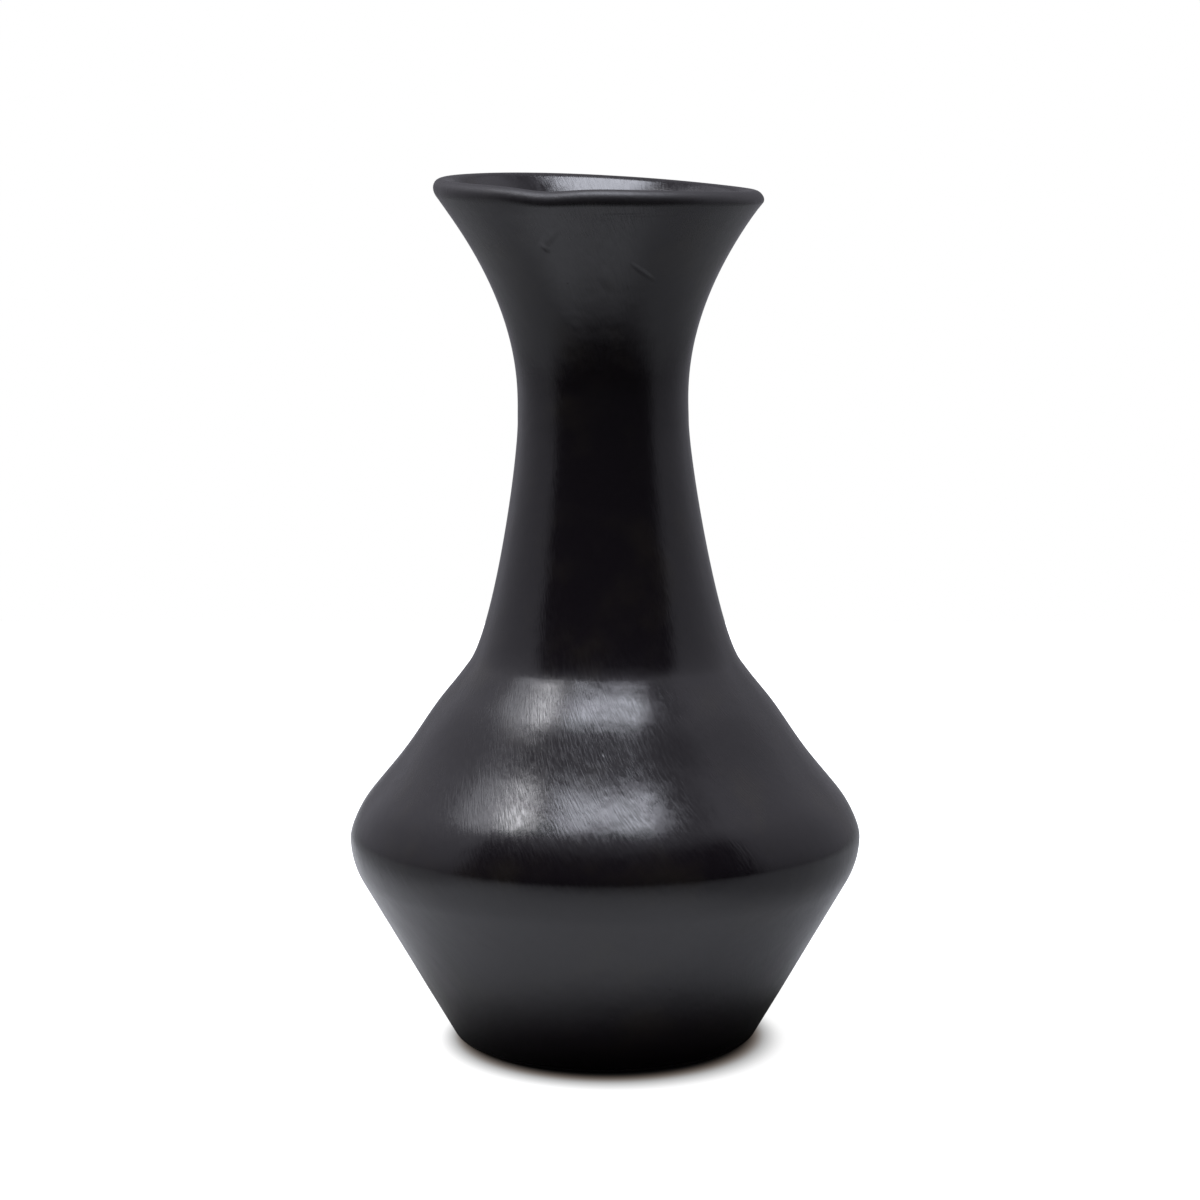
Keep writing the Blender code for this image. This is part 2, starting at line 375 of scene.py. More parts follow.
def section_mesh(size, hand):
    """The whole wall as one line of points in XZ, which know how far along it they are."""
    outside = outside_line(size, hand)
    under = underside_line(size, outside[0])
    half_turn = (-size.lip_lean, math.pi - size.lip_lean)
    lip = arc(lip_centre(size), size.lip / 2, *half_turn, LIP_STEPS)
    inside = inside_line(size, outside)
    points = joined(under, outside, lip, inside)

    along = [0.0]
    for start, end in zip(points, points[1:]):
        along.append(along[-1] + (end - start).length)
    reach_down = size.mouth_rise / 2
    raw_below = [top_height(size) - point.y for point in inside[1:]]
    polished_inside = [1 - eased((depth - reach_down) / reach_down) for depth in raw_below]
    worn_lip = [1 - hand.lip_wear * math.sin(math.pi * i / LIP_STEPS) for i in range(LIP_STEPS + 1)]
    burnish = [0.0] * (len(under) - 1) + [1.0] * (len(outside) - 1) + worn_lip + polished_inside

    mesh = bpy.data.meshes.new("vase_section")
    edges = [(i, i + 1) for i in range(len(points) - 1)]
    mesh.from_pydata([(p.x, 0, p.y) for p in points], edges, [])
    mesh.attributes.new(ALONG, "FLOAT", "POINT").data.foreach_set("value", along)
    mesh.attributes.new(BURNISH, "FLOAT", "POINT").data.foreach_set("value", burnish)
    return mesh


def add_node(tree, kind, inputs=None, **settings):
    """Adds one node. An input is given a number, or the node or socket that it is linked from."""
    node = tree.nodes.new(kind)
    for name, value in settings.items():
        setattr(node, name, value)
    for key, value in (inputs or {}).items():
        named = [s for s in node.inputs if s.enabled and s.name == key]
        socket = node.inputs[key] if isinstance(key, int) else named[0]
        if isinstance(value, bpy.types.Node):
            value = next(s for s in value.outputs if s.enabled)
        if isinstance(value, bpy.types.NodeSocket):
            tree.links.new(value, socket)
        else:
            socket.default_value = value
    return node


COLUMN_WIDTH = 220
ROW_HEIGHT = 240


def lay_out(tree):
    """Sets the nodes out in columns, each one right of what feeds it."""
    column = {}

    def column_of(node):
        if node not in column:
            feeding = {link.from_node for s in node.inputs for link in s.links}
            column[node] = 1 + max(map(column_of, feeding), default=-1)
        return column[node]

    filled = {}
    for node in tree.nodes:
        place = column_of(node)
        filled[place] = filled.get(place, -1) + 1
        node.location = (COLUMN_WIDTH * place, -ROW_HEIGHT * filled[place])


# Named inputs of the turning tree: where each value comes from
TREE_INPUTS = (
    ("Turn Steps", "NodeSocketInt", lambda size, hand: hand.turn_steps),
    ("Belly Height", "NodeSocketFloat", lambda size, hand: size.belly_height),
    ("Neck Root Height", "NodeSocketFloat", lambda size, hand: neck_root_height(size)),
    ("Waist Height", "NodeSocketFloat", lambda size, hand: waist_height(size)),
    ("Top Height", "NodeSocketFloat", lambda size, hand: top_height(size)),
    ("Belly Tilt", "NodeSocketFloat", lambda size, hand: hand.belly_tilt),
    ("Belly Lean", "NodeSocketFloat", lambda size, hand: hand.belly_lean),
    ("Neck Drift", "NodeSocketFloat", lambda size, hand: hand.neck_drift),
    ("Lip Tilt", "NodeSocketFloat", lambda size, hand: hand.lip_tilt),
    ("Lip Tilt Bearing", "NodeSocketFloat", lambda size, hand: hand.lip_tilt_bearing),
    ("Lip Saddle", "NodeSocketFloat", lambda size, hand: hand.lip_saddle),
    ("Lip Saddle Bearing", "NodeSocketFloat", lambda size, hand: hand.lip_saddle_bearing),
    ("Lip Spread", "NodeSocketFloat", lambda size, hand: hand.lip_spread),
    ("Lip Depth", "NodeSocketFloat", lambda size, hand: hand.lip_depth),
    ("Lip Dip", "NodeSocketFloat", lambda size, hand: hand.lip_dip),
    ("Lip Dip Bearing", "NodeSocketFloat", lambda size, hand: hand.lip_dip_bearing),
    ("Lip Dip Spread", "NodeSocketFloat", lambda size, hand: hand.lip_dip_spread),
    ("Palm Mark Depth", "NodeSocketFloat", lambda size, hand: hand.palm_depth),
    ("Palm Mark Size", "NodeSocketFloat", lambda size, hand: hand.palm_size),
    ("Seed", "NodeSocketInt", lambda size, hand: hand.seed),
)


def turning_tree(material):
    """Turns the section round Z, then moves the wall's points as the hand left them."""
    tree = bpy.data.node_groups.new("turned_vase", "GeometryNodeTree")
    tree.interface.new_socket("Section", in_out="INPUT", socket_type="NodeSocketGeometry")
    for name, kind, _ in TREE_INPUTS:
        tree.interface.new_socket(name, in_out="INPUT", socket_type=kind)
    tree.interface.new_socket("Vase", in_out="OUTPUT", socket_type="NodeSocketGeometry")
    add = partial(add_node, tree)
    maths = partial(add, "ShaderNodeMath")
    given = add("NodeGroupInput").outputs

    # A sheet with a row for each point of the section and a column for each step of the turn
    section = given["Section"]
    rows = add("GeometryNodeAttributeDomainSize", {"Geometry": section}, component="MESH")
    columns = add("FunctionNodeIntegerMath", {0: given["Turn Steps"], 1: 1}, operation="ADD")
    sheet = add("GeometryNodeMeshGrid", {"Vertices X": rows, "Vertices Y": columns})
    index = add("GeometryNodeInputIndex")
    row = add("FunctionNodeIntegerMath", {0: index, 1: columns}, operation="DIVIDE_FLOOR")
    column = add("FunctionNodeIntegerMath", {0: index, 1: columns}, operation="MODULO")
    turn = maths({0: column, 1: given["Turn Steps"]}, operation="DIVIDE")
    clockwise = maths({0: turn, 1: -math.tau}, operation="MULTIPLY")  # so that faces look outwards
    wall = sheet
    for name in (ALONG, BURNISH):
        value = add("GeometryNodeInputNamedAttribute", {"Name": name}, data_type="FLOAT")
        picked = {"Geometry": section, "Value": value, "Index": row}
        sampled = add("GeometryNodeSampleIndex", picked)
        wall = add(
            "GeometryNodeStoreNamedAttribute",
            {"Geometry": wall, "Name": name, "Value": sampled},
            data_type="FLOAT",
            domain="POINT",
        )
    position = add("GeometryNodeInputPosition")
    on_section = add(
        "GeometryNodeSampleIndex",
        {"Geometry": section, "Value": position, "Index": row},
        data_type="FLOAT_VECTOR",
    )
    around = add(
        "ShaderNodeVectorRotate", {"Vector": on_section, "Angle": clockwise}, rotation_type="Z_AXIS"
    )
    wall = add("GeometryNodeSetPosition", {"Geometry": wall, "Position": around})
    wall = add("GeometryNodeMergeByDistance", {"Geometry": wall, "Distance": WELD})

    # Soft dents, pressed inwards
    per_metre = maths({0: 1.0, 1: given["Palm Mark Size"]}, operation="DIVIDE")
    dents = add(
        "ShaderNodeTexNoise",
        {"Vector": position, "W": given["Seed"], "Scale": per_metre, "Detail": 1.0},
        noise_dimensions="4D",
    )
    pressed = maths({0: dents, 1: given["Palm Mark Depth"]}, operation="MULTIPLY")
    inwards = maths({0: pressed, 1: -1.0}, operation="MULTIPLY")
    normal = add("GeometryNodeInputNormal")
    offset = add("ShaderNodeVectorMath", {0: normal, "Scale": inwards}, operation="SCALE")
    wall = add("GeometryNodeSetPosition", {"Geometry": wall, "Offset": offset})

    # The belly leans, the neck drifts to the left, and the lip leans and dips
    place = add("ShaderNodeSeparateXYZ", {"Vector": position}).outputs
    smooth = partial(add, "ShaderNodeMapRange", interpolation_type="SMOOTHSTEP")
    up_belly = smooth({0: place["Z"], 2: given["Belly Height"]})
    down_neck = smooth(
        {0: place["Z"], 1: given["Neck Root Height"], 2: given["Waist Height"], 3: 1.0, 4: 0.0}
    )
    on_belly = maths({0: up_belly, 1: down_neck}, operation="MULTIPLY")
    right_slope = maths({0: given["Belly Tilt"]}, operation="TANGENT")
    right_rise = maths({0: place["X"], 1: right_slope}, operation="MULTIPLY")
    back_slope = maths({0: given["Belly Lean"]}, operation="TANGENT")
    back_drop = maths({0: place["Y"], 1: back_slope}, operation="MULTIPLY")
    sloped = maths({0: right_rise, 1: back_drop}, operation="SUBTRACT")
    belly_rise = maths({0: on_belly, 1: sloped}, operation="MULTIPLY")
    up_neck = smooth({0: place["Z"], 1: given["Neck Root Height"], 2: given["Top Height"]})
    drift = maths({0: up_neck, 1: given["Neck Drift"]}, operation="MULTIPLY")
    leftwards = maths({0: drift, 1: -1.0}, operation="MULTIPLY")

    flat = add("ShaderNodeCombineXYZ", {"X": place["X"], "Y": place["Y"]})
    away = add("ShaderNodeVectorMath", {0: flat}, operation="NORMALIZE")
    radius = add("ShaderNodeVectorMath", {0: flat}, operation="LENGTH").outputs["Value"]
    bearing = maths({0: place["Y"], 1: place["X"]}, operation="ARCTAN2")
    lip_start = maths({0: given["Top Height"], 1: given["Lip Depth"]}, operation="SUBTRACT")
    at_lip = smooth({0: place["Z"], 1: lip_start, 2: given["Top Height"]})
    lip_slope = maths({0: given["Lip Tilt"]}, operation="TANGENT")
    from_high = maths({0: bearing, 1: given["Lip Tilt Bearing"]}, operation="SUBTRACT")
    high_share = maths({0: from_high}, operation="COSINE")
    towards_high = maths({0: radius, 1: high_share}, operation="MULTIPLY")
    tilt = maths({0: towards_high, 1: lip_slope}, operation="MULTIPLY")
    from_side = maths({0: bearing, 1: given["Lip Saddle Bearing"]}, operation="SUBTRACT")
    twice = maths({0: from_side, 1: 2.0}, operation="MULTIPLY")
    saddle_wave = maths({0: twice}, operation="COSINE")
    waved = maths({0: saddle_wave, 1: given["Lip Saddle"], 2: tilt}, operation="MULTIPLY_ADD")
    from_dip = maths({0: bearing, 1: given["Lip Dip Bearing"]}, operation="SUBTRACT")
    spreads = maths({0: from_dip, 1: given["Lip Dip Spread"]}, operation="DIVIDE")
    squared = maths({0: spreads, 1: spreads}, operation="MULTIPLY")
    falling = maths({0: squared, 1: -1.0}, operation="MULTIPLY")
    bell = maths({0: falling}, operation="EXPONENT")
    dip = maths({0: bell, 1: given["Lip Dip"]}, operation="MULTIPLY")
    raised = maths({0: waved, 1: dip}, operation="SUBTRACT")
    lip_rise = maths({0: at_lip, 1: raised}, operation="MULTIPLY")

    spread = maths({0: lip_rise, 1: given["Lip Spread"]}, operation="MULTIPLY")
    spread_out = add("ShaderNodeVectorMath", {0: away, "Scale": spread}, operation="SCALE")
    rise = maths({0: belly_rise, 1: lip_rise}, operation="ADD")
    shifted = add("ShaderNodeCombineXYZ", {"X": leftwards, "Z": rise})
    moved = add("ShaderNodeVectorMath", {0: shifted, 1: spread_out}, operation="ADD")
    wall = add("GeometryNodeSetPosition", {"Geometry": wall, "Offset": moved})

    wall = add("GeometryNodeSetShadeSmooth", {"Geometry": wall})
    wall = add("GeometryNodeRealizeInstances", {"Geometry": wall})
    wall = add("GeometryNodeSetMaterial", {"Geometry": wall, "Material": material})
    add("NodeGroupOutput", {"Vase": wall})
    lay_out(tree)
    return tree


def plain_mesh(piece, name):
    """Takes what the piece's modifiers make as its own mesh, and removes them."""
    seen = piece.evaluated_get(bpy.context.evaluated_depsgraph_get())
    mesh = bpy.data.meshes.new_from_object(seen)
    mesh.name = name
    piece.modifiers.clear()
    piece.data = mesh


def new_material(name):
    material = bpy.data.materials.new(name)
    material.use_nodes = True
    material.node_tree.nodes.clear()
    return material


# Radii at which the stone's strokes keep their true width, on the body and on the neck
STROKE_RADII = (0.056, 0.028)
STROKE_BLEND = (0.034, 0.044)  # radii between which one set of strokes gives way to the other
BARE_BELLY = (0.068, 0.084)  # heights between which strokes go from faint to plain
FAINT_STROKES = 0.6  # how plain strokes are under the belly and on the neck
DULL_STROKES = (0.38, 0.64)  # noise between which a stroke turns from shiny to dull
STROKE_DULLING = 0.12  # roughness that the dullest strokes add
CLOUD_DULLING = 0.15  # difference in roughness between the dullest and the shiniest clouds
SMOKY_CLOUDS = (0.5, 0.75)  # noise between which a cloud turns from black to brown
CLOUD_SIZE = 0.02
PORE_SIZE = 0.0012
PIT_SPACING = 0.022
PIT_RADIUS = 0.02  # as a share of that spacing
GROOVE_DEPTH = 0.00004
FACET_DEPTH = 0.0003
PIT_DEPTH = 0.00015
GRAIN_DEPTH = 0.00012
BROWN_FOOT_BAND = (0.0004, 0.0016)  # heights between which the brown at the bottom of the foot dies out
CLAY_IOR = 1.5

# Two scuffs, a scratch, a smudge, a line under the lip, a pit and a nick on the front:
# middle, width, height before it leans, lean from upright in degrees, depth
MARKS = (
    ((-0.0168, -0.036, 0.2350), 0.0022, 0.0050, -50, 0.00018),
    ((-0.0150, -0.036, 0.2385), 0.0045, 0.0110, 42, 0.00014),
    ((0.0108, -0.036, 0.2278), 0.0022, 0.0120, -52, 0.00014),
    ((0.0003, -0.034, 0.2262), 0.0050, 0.0100, -15, 0.00010),
    ((0.0080, -0.042, 0.2446), 0.0016, 0.0300, 90, 0.00005),
    ((0.0001, -0.066, 0.0856), 0.0022, 0.0026, -30, 0.00003),
    ((-0.0007, -0.058, 0.0959), 0.0007, 0.0024, -20, 0.00010),
)
MARK_REACH = 0.03  # half the reach of a mark from front to back, so that it stays on the front


def burnished_blackware(finish):
    """Low-fired clay, blackened by smoke and rubbed with a smooth stone while leather-hard.

    The eye gets a deep black satin: lights smear a little, and break up along fine grooves.
    """
    material = new_material("burnished_blackware")
    tree = material.node_tree
    add = partial(add_node, tree)
    maths = partial(add, "ShaderNodeMath")
    vector = partial(add, "ShaderNodeVectorMath")
    noise = partial(add, "ShaderNodeTexNoise", noise_dimensions="3D")
    smooth = partial(add, "ShaderNodeMapRange", interpolation_type="SMOOTHSTEP")
    place = add("ShaderNodeTexCoord").outputs["Object"]
    along = add("ShaderNodeAttribute", attribute_name=ALONG).outputs["Fac"]
    burnish = add("ShaderNodeAttribute", attribute_name=BURNISH).outputs["Fac"]

    # Strokes of the stone: long thin noise round the wall, twisted so that it leans to the left
    axes = add("ShaderNodeSeparateXYZ", {"Vector": place}).outputs
    flat = add("ShaderNodeCombineXYZ", {"X": axes["X"], "Y": axes["Y"]})
    radius = vector({0: flat}, operation="LENGTH").outputs["Value"]
    outwards = vector({0: flat}, operation="NORMALIZE")
    twist_per_metre = math.tan(finish.stroke_lean) / STROKE_RADII[0]
    twist = maths({0: along, 1: twist_per_metre}, operation="MULTIPLY")
    twisted = add(
        "ShaderNodeVectorRotate", {"Vector": outwards, "Angle": twist}, rotation_type="Z_AXIS"
    )
    stroke_rows = maths({0: along, 1: finish.stroke_length}, operation="DIVIDE")
    upwards = add("ShaderNodeCombineXYZ", {"Z": stroke_rows})
    strokes = []
    for true_radius in STROKE_RADII:
        around = vector({0: twisted, "Scale": true_radius / finish.stroke_width}, operation="SCALE")
        cell = vector({0: around, 1: upwards}, operation="ADD")
        strokes.append(noise({"Vector": cell, "Scale": 1.0, "Detail": 2.0, "Roughness": 0.6}))
    on_body = smooth({0: radius, 1: STROKE_BLEND[0], 2: STROKE_BLEND[1]})
    stroke = add("ShaderNodeMix", {"Factor": on_body, "A": strokes[1], "B": strokes[0]})

    # Broad gloss clouds, where the stone passed more or less often
    clouds = noise({"Vector": place, "Scale": 1 / CLOUD_SIZE, "Detail": 3.0, "Roughness": 0.55})
    pores = noise({"Vector": place, "Scale": 1 / PORE_SIZE, "Detail": 2.0})

    # Small pits: places where a point scattered through space lies close to the surface
    scatter = add("ShaderNodeTexVoronoi", {"Vector": place, "Scale": 1 / PIT_SPACING})
    pit = smooth({0: scatter, 1: 0.0, 2: PIT_RADIUS, 3: 1.0, 4: 0.0})

    groove = maths({0: stroke, 1: GROOVE_DEPTH}, operation="MULTIPLY")
    facet = maths({0: clouds, 1: FACET_DEPTH}, operation="MULTIPLY")
    polished = maths({0: groove, 1: facet}, operation="ADD")
    grain = maths({0: pores, 1: GRAIN_DEPTH}, operation="MULTIPLY")
    relief = add("ShaderNodeMix", {"Factor": burnish, "A": grain, "B": polished})
    height = maths({0: pit, 1: -PIT_DEPTH, 2: relief}, operation="MULTIPLY_ADD")
    for middle, width, tall, lean, depth in MARKS:
        turned = {"Location": middle, "Rotation": (0, math.radians(lean), 0)}
        half = {"Scale": (width / 2, MARK_REACH, tall / 2)}
        near = add("ShaderNodeMapping", {"Vector": place, **turned, **half}, vector_type="TEXTURE")
        away = vector({0: near}, operation="LENGTH").outputs["Value"]
        dent = smooth({0: away, 1: 0.0, 2: 1.0, 3: 1.0, 4: 0.0})
        height = maths({0: dent, 1: -depth, 2: height}, operation="MULTIPLY_ADD")
    bump = add("ShaderNodeBump", {"Strength": 1.0, "Distance": 1.0, "Height": height})

    # Some strokes are dull, most of all on the shoulder, and so are some of the clouds
    over_belly = smooth({0: axes["Z"], 1: BARE_BELLY[0], 2: BARE_BELLY[1], 3: FAINT_STROKES})
    off_neck = smooth({0: radius, 1: STROKE_BLEND[0], 2: STROKE_BLEND[1], 3: FAINT_STROKES})
    shown = maths({0: over_belly, 1: off_neck}, operation="MULTIPLY")
    dull_stroke = smooth({0: stroke, 1: DULL_STROKES[0], 2: DULL_STROKES[1], 4: shown})
    dulled = {0: dull_stroke, 1: STROKE_DULLING, 2: finish.shine}
    stroke_rough = maths(dulled, operation="MULTIPLY_ADD")
    cloud_gloss = maths({0: clouds, 1: 0.5}, operation="SUBTRACT")
    clouded = {0: cloud_gloss, 1: CLOUD_DULLING, 2: stroke_rough}
    cloud_rough = maths(clouded, operation="MULTIPLY_ADD")
    roughness = add("ShaderNodeMix", {"Factor": burnish, "A": finish.dullness, "B": cloud_rough})

    smoke = smooth({0: clouds, 1: SMOKY_CLOUDS[0], 2: SMOKY_CLOUDS[1]})
    colour_mix = partial(add, "ShaderNodeMix", data_type="RGBA")
    black = colour_mix({"Factor": smoke, "A": finish.black, "B": finish.smoke})
    clay = colour_mix({"Factor": burnish, "A": finish.raw, "B": black})
    # Browner at the very bottom of the foot, where the smoke clouds are
    low = smooth({0: axes["Z"], 1: BROWN_FOOT_BAND[0], 2: BROWN_FOOT_BAND[1], 3: 1.0, 4: 0.0})
    rubbed = maths({0: low, 1: smoke}, operation="MULTIPLY")
    coloured = colour_mix({"Factor": rubbed, "A": clay, "B": finish.foot_brown})

    surface = add(
        "ShaderNodeBsdfPrincipled",
        {"Base Color": coloured, "Roughness": roughness, "Normal": bump, "IOR": CLAY_IOR},
    )
    add("ShaderNodeOutputMaterial", {"Surface": surface})
    lay_out(tree)
    return material


class VASE_OT_turn_body(bpy.types.Operator):
    """Turns the wall of the vase and gives it its burnished clay"""

    bl_idname = "vase.turn_body"
    bl_label = "Turn the Body"

    def execute(self, context):
        size = context.scene.vase_sizes
        hand = context.scene.vase_hand
        piece = bpy.data.objects.new("burnished_body", section_mesh(size, hand))
        context.scene.collection.objects.link(piece)
        tree = turning_tree(burnished_blackware(context.scene.vase_clay))
        turning = piece.modifiers.new("turning", "NODES")
        turning.node_group = tree
        sockets = {s.name: s.identifier for s in tree.interface.items_tree if s.in_out == "INPUT"}
        for name, _, value in TREE_INPUTS:
            turning[sockets[name]] = value(size, hand)
        plain_mesh(piece, "burnished_body")
        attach(piece, "root")
        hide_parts("vase_body")
        return {"FINISHED"}


TABLE_GAP = 0.0001  # between the table and the foot, so that the two faces don't flicker
TINT_END = 0.5  # lightness in the painted shadow round the foot at which its warm tint has gone


def add_stage(name, corners, faces, material):
    mesh = bpy.data.meshes.new(name)
    mesh.from_pydata(corners, [], faces)
    mesh.materials.append(material)
    piece = bpy.data.objects.new(name, mesh)
    bpy.context.scene.collection.objects.link(piece)
    return piece


def seen_directly(add, mirrored=1.0):
    """1 for a camera ray, 'mirrored' for one off a shiny surface, 0 for one that carries light."""
    ray = add("ShaderNodeLightPath").outputs
    maths = partial(add, "ShaderNodeMath")
    shining = maths({0: ray["Is Glossy Ray"], 1: mirrored}, operation="MULTIPLY")
    seen = maths({0: ray["Is Camera Ray"], 1: shining}, operation="ADD")
    return maths({0: seen, 1: ray["Is Transmission Ray"]}, operation="ADD", use_clamp=True)


def matt_paper(studio, foot_radius):
    """Matt white paper, as it lies on the table.

    The eye gets an even white, with a close soft shadow where the foot meets it, painted on the
    paper rather than cast by the lights.
    """
    material = new_material("matt_paper")
    add = partial(add_node, material.node_tree)
    maths = partial(add, "ShaderNodeMath")
    smooth = partial(add, "ShaderNodeMapRange", interpolation_type="SMOOTHSTEP")
    place = add("ShaderNodeTexCoord").outputs["Object"]
    axes = add("ShaderNodeSeparateXYZ", {"Vector": place}).outputs

    def beyond(middle, radius):
        """How far a place is outside a circle on the table."""
        offset = add("ShaderNodeVectorMath", {0: place, 1: middle}, operation="SUBTRACT")
        away = add("ShaderNodeVectorMath", {0: offset}, operation="LENGTH").outputs["Value"]
        return maths({0: away, 1: radius}, operation="SUBTRACT")

    def clear_of(core, rim):
        """0 inside the core circle, and 1 outside the wider rim circle."""
        past_core = beyond(*core)
        span = maths({0: past_core, 1: beyond(*rim)}, operation="SUBTRACT")
        return smooth({0: maths({0: past_core, 1: span}, operation="DIVIDE")})

    # The lit paper, with painted shade in its colour: a soft circle round the foot, set off to the
    # front, stands in for the shade of the overhanging belly. In the clay's shine its colour is also
    # painted dimmer, most of all at its sides and towards the camera, where the light on the table
    # would end.
    shade_core = (studio.shade_shift, foot_radius + studio.shade_core)
    shade_rim = (studio.shade_shift, foot_radius + studio.shade_rim)
    out_of_painted_shade = clear_of(shade_core, shade_rim)
    painted_shade = maths(
        {0: out_of_painted_shade, 1: 1 - studio.shade_floor, 2: studio.shade_floor}, operation="MULTIPLY_ADD"
    )
    # Painted dimming of the paper's colour, which only rays off the clay see
    across = maths({0: axes["X"], 1: studio.side_middle}, operation="ADD")
    aside = maths({0: across}, operation="ABSOLUTE")
    side_fall = {1: studio.side_start, 2: studio.side_end}
    sides = smooth({0: aside, **side_fall, 3: studio.mirrored_paper, 4: studio.mirrored_sides})
    front = smooth({0: axes["Y"], 1: -studio.fade_end, 2: -studio.fade_start})
    painted_dimming = maths({0: sides, 1: front}, operation="MULTIPLY")
    shining = add("ShaderNodeLightPath").outputs["Is Glossy Ray"]
    mirrored = add("ShaderNodeMix", {"Factor": shining, "A": 1.0, "B": painted_dimming})
    lit = maths({0: painted_shade, 1: mirrored}, operation="MULTIPLY")
    paper = add("ShaderNodeVectorMath", {0: studio.paper[:3], "Scale": lit}, operation="SCALE")

    # White is added where the paper is seen, which would hide the foot's cast shadow, so a painted
    # shadow is left out of it: a patch drawn between two circles, which lies closest at the back and
    # reaches furthest to the front, with a painted warm tint where it is darkest
    contact_core = (studio.core_shift, foot_radius - studio.core_inset)
    contact_rim = (studio.contact_shift, foot_radius + studio.contact_rim)
    off_painted_shadow = clear_of(contact_core, contact_rim)
    seen = seen_directly(add, studio.mirrored_lift)
    lift = maths({0: seen, 1: studio.paper_lift}, operation="MULTIPLY")
    strength = maths({0: lift, 1: off_painted_shadow}, operation="MULTIPLY")
    pure = smooth({0: off_painted_shadow, 2: TINT_END})
    white = add(
        "ShaderNodeMix",
        {"Factor": pure, "A": studio.painted_shadow_tint, "B": linear("#FFFFFF")},
        data_type="RGBA",
    )
    surface = add(
        "ShaderNodeBsdfPrincipled",
        {
            "Base Color": paper,
            "Roughness": 1.0,
            "Emission Color": white,
            "Emission Strength": strength,
        },
    )
    surface.inputs["Specular IOR Level"].default_value = 0
    add("ShaderNodeOutputMaterial", {"Surface": surface})
    lay_out(material.node_tree)
    return material


class VASE_OT_set_table(bpy.types.Operator):
    """Sets the plain pale table under the vase"""

    bl_idname = "vase.set_table"
    bl_label = "Set the Table"

    def execute(self, context):
        studio = context.scene.vase_studio
        side = studio.table_reach
        corners = [(-side, -side, 0), (side, -side, 0), (side, side, 0), (-side, side, 0)]
        paper = matt_paper(studio, context.scene.vase_sizes.foot_diameter / 2)
        table = add_stage("table", corners, [(0, 1, 2, 3)], paper)
        table.location.z = -TABLE_GAP
        return {"FINISHED"}


# Soft lights: name, place, the point they face, width, depth, brightness where white is 1, colour
SOFTBOXES = (
    ("overhead_light", (0.025, -0.27, 1.25), (0.025, -0.27, 0), 0.81, 0.56, 12.0, "#F0F3FF"),
    ("left_light", (-0.70, -0.26, 1.25), (-0.70, -0.26, 0), 0.22, 0.32, 17.5, "#FAFAFF"),
    ("left_glow", (-0.92, 0.08, 1.0), (0, 0, 0.1), 0.60, 0.50, 3.2, "#F6F7FF"),
)

# Glowing cards, no lamps, which give painted reflections of the room in the clay: name, bearings
# from and to (0 is the front, right is more), lowest and highest edge, distance of each from the
# axis, and brightness there where white is 1
MIRRORED_CARDS = (
    ("dim_room", -66, 69, -0.72, 0.80, 0.95, 0.95, 0.03, 0.07),
    ("front_wall", -66, 69, 0.80, 1.30, 0.95, 0.95, 0.2, 0.6),
    ("right_wall", 69, 140, -0.30, 1.30, 0.95, 0.95, 0.15, 1.05),
    ("left_wall", -150, -66, -0.30, 1.30, 0.95, 0.95, 0.2, 1.2),
    ("far_wall", 140, 210, -0.30, 1.30, 0.95, 0.95, 0.25, 0.45),
    ("low_wall", 69, 294, -0.72, -0.30, 0.95, 0.95, 0.2, 0.2),
    ("ceiling", -180, 180, 1.30, 1.30, 0.95, 0.0, 0.5, 0.5),
)
CARD_GREY = "#F4F3FF"
CARD_STEPS = 24


def softbox(name, place, aim, width, depth, brightness, tint):
    """A soft area light; a white card facing the camera would look as bright as 'brightness'."""
    light = bpy.data.lights.new(name, "AREA")
    light.shape = "RECTANGLE"
    light.size = width
    light.size_y = depth
    light.energy = brightness * math.pi * width * depth
    light.color = linear(tint)[:3]
    lamp = bpy.data.objects.new(name, light)
    lamp.location = place
    lamp.rotation_euler = (Vector(aim) - Vector(place)).to_track_quat("-Z", "Y").to_euler()
    bpy.context.scene.collection.objects.link(lamp)


def glowing_grey(name, reach, brightness):
    """A glowing card that stands in for a matt wall as the clay mirrors it: a painted reflection,
    which gets paler or darker up to its high edge.
    """
    material = new_material(name)
    add = partial(add_node, material.node_tree)
    place = add("ShaderNodeTexCoord").outputs["Object"]
    height = add("ShaderNodeSeparateXYZ", {"Vector": place}).outputs["Z"]
    (low, high), (low_level, high_level) = reach, brightness
    strength = add("ShaderNodeMapRange", {0: height, 1: low, 2: high, 3: low_level, 4: high_level})
    glow = add("ShaderNodeEmission", {"Color": linear(CARD_GREY), "Strength": strength})
    add("ShaderNodeOutputMaterial", {"Surface": glow})
    material.cycles.emission_sampling = "NONE"
    lay_out(material.node_tree)
    return material


def mirrored_card(name, first, last, low, high, low_away, high_away, low_level, high_level):
    """A curved glowing card round the vase which only shiny surfaces see: a painted reflection of
    the room.
    """
    corners = []
    for i in range(CARD_STEPS + 1):
        bearing = math.radians(first + (last - first) * i / CARD_STEPS)
        for away, height in ((low_away, low), (high_away, high)):
            corners.append((away * math.sin(bearing), -away * math.cos(bearing), height))
    faces = [(2 * i, 2 * i + 2, 2 * i + 3, 2 * i + 1) for i in range(CARD_STEPS)]
    grey = glowing_grey(name, (low, high), (low_level, high_level))
    card = add_stage(name, corners, faces, grey)
    card.visible_camera = False
    card.visible_diffuse = False
    card.visible_shadow = False
    card.visible_transmission = False


def pale_world(studio):
    """White where it is seen, and a soft even fill where it lights."""
    world = bpy.data.worlds.new("pale_room")
    world.use_nodes = True
    tree = world.node_tree
    tree.nodes.clear()
    add = partial(add_node, tree)
    strength = add("ShaderNodeMix", {"Factor": seen_directly(add), "A": studio.fill, "B": 1.0})
    background = add("ShaderNodeBackground", {"Color": linear("#FFFFFF"), "Strength": strength})
    add("ShaderNodeOutputWorld", {"Surface": background})
    lay_out(tree)
    return world


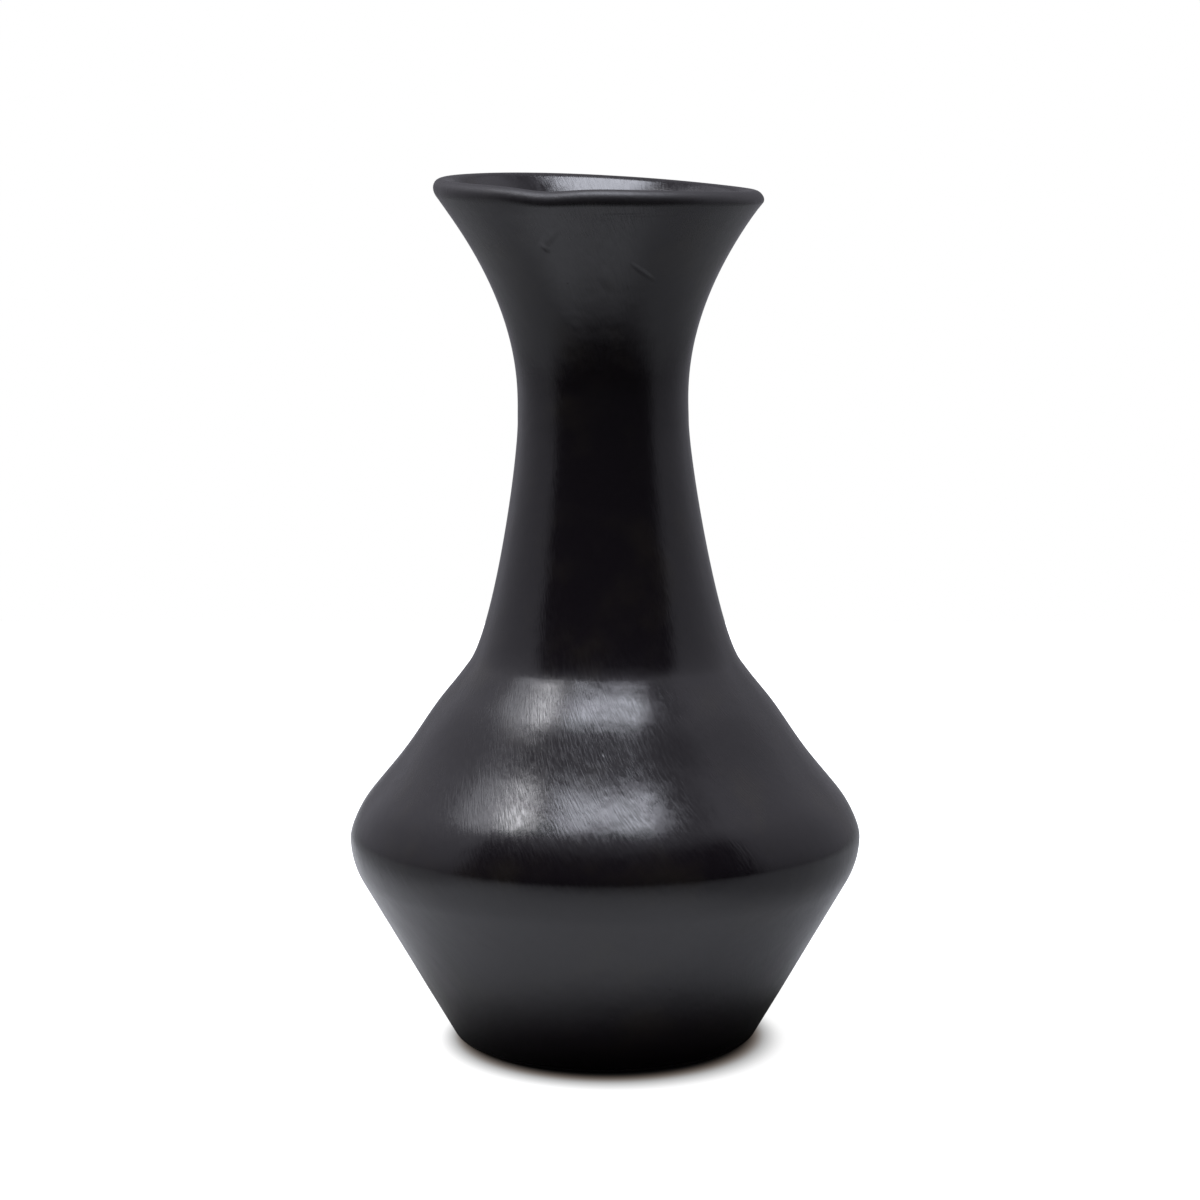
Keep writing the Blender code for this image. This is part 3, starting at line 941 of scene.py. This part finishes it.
class VASE_OT_set_lights(bpy.types.Operator):
    """Sets the soft lights, and the glowing cards that give the room's painted reflection in the
    clay
    """

    bl_idname = "vase.set_lights"
    bl_label = "Set the Lights"

    def execute(self, context):
        context.scene.world = pale_world(context.scene.vase_studio)
        for light in SOFTBOXES:
            softbox(*light)
        for card in MIRRORED_CARDS:
            mirrored_card(*card)
        context.scene.view_settings.view_transform = "Standard"
        return {"FINISHED"}


class VASE_OT_set_camera(bpy.types.Operator):
    """Sets the camera where the photograph was taken from"""

    bl_idname = "vase.set_camera"
    bl_label = "Set the Camera"

    def execute(self, context):
        studio = context.scene.vase_studio
        view = bpy.data.cameras.new("photo_view")
        view.lens = studio.focal_length
        camera = bpy.data.objects.new("photo_view", view)
        camera.location = (-studio.camera_left, -studio.camera_distance, studio.camera_height)
        camera.rotation_euler = (math.pi / 2 - studio.camera_pitch, 0, 0)
        context.scene.collection.objects.link(camera)
        context.scene.camera = camera
        return {"FINISHED"}


GROUPS = {
    "vase_sizes": VaseSizes,
    "vase_hand": HandMarks,
    "vase_clay": ClayFinish,
    "vase_studio": Studio,
}
OPERATORS = (VASE_OT_turn_body, VASE_OT_set_table, VASE_OT_set_lights, VASE_OT_set_camera)


class VASE_PT_sidebar(bpy.types.Panel):
    """Lists the sizes, the finish and the steps that build the vase"""

    bl_idname = "VASE_PT_sidebar"
    bl_label = "Flared Vase"
    bl_space_type = "VIEW_3D"
    bl_region_type = "UI"
    bl_category = "Flared Vase"

    def draw(self, context):
        for step in OPERATORS:
            self.layout.operator(step.bl_idname)
        for group, kind in GROUPS.items():
            box = self.layout.box()
            for name in kind.__annotations__:
                box.prop(getattr(context.scene, group), name)


def register():
    for kind in (*GROUPS.values(), *OPERATORS, VASE_PT_sidebar):
        bpy.utils.register_class(kind)
    for group, kind in GROUPS.items():
        setattr(bpy.types.Scene, group, PointerProperty(type=kind))


def unregister():
    for group in GROUPS:
        delattr(bpy.types.Scene, group)
    for kind in (VASE_PT_sidebar, *OPERATORS, *GROUPS.values()):
        bpy.utils.unregister_class(kind)


def main():
    register()
    bpy.ops.vase.turn_body()
    bpy.ops.vase.set_table()
    bpy.ops.vase.set_lights()
    bpy.ops.vase.set_camera()


if __name__ == "__main__":
    main()
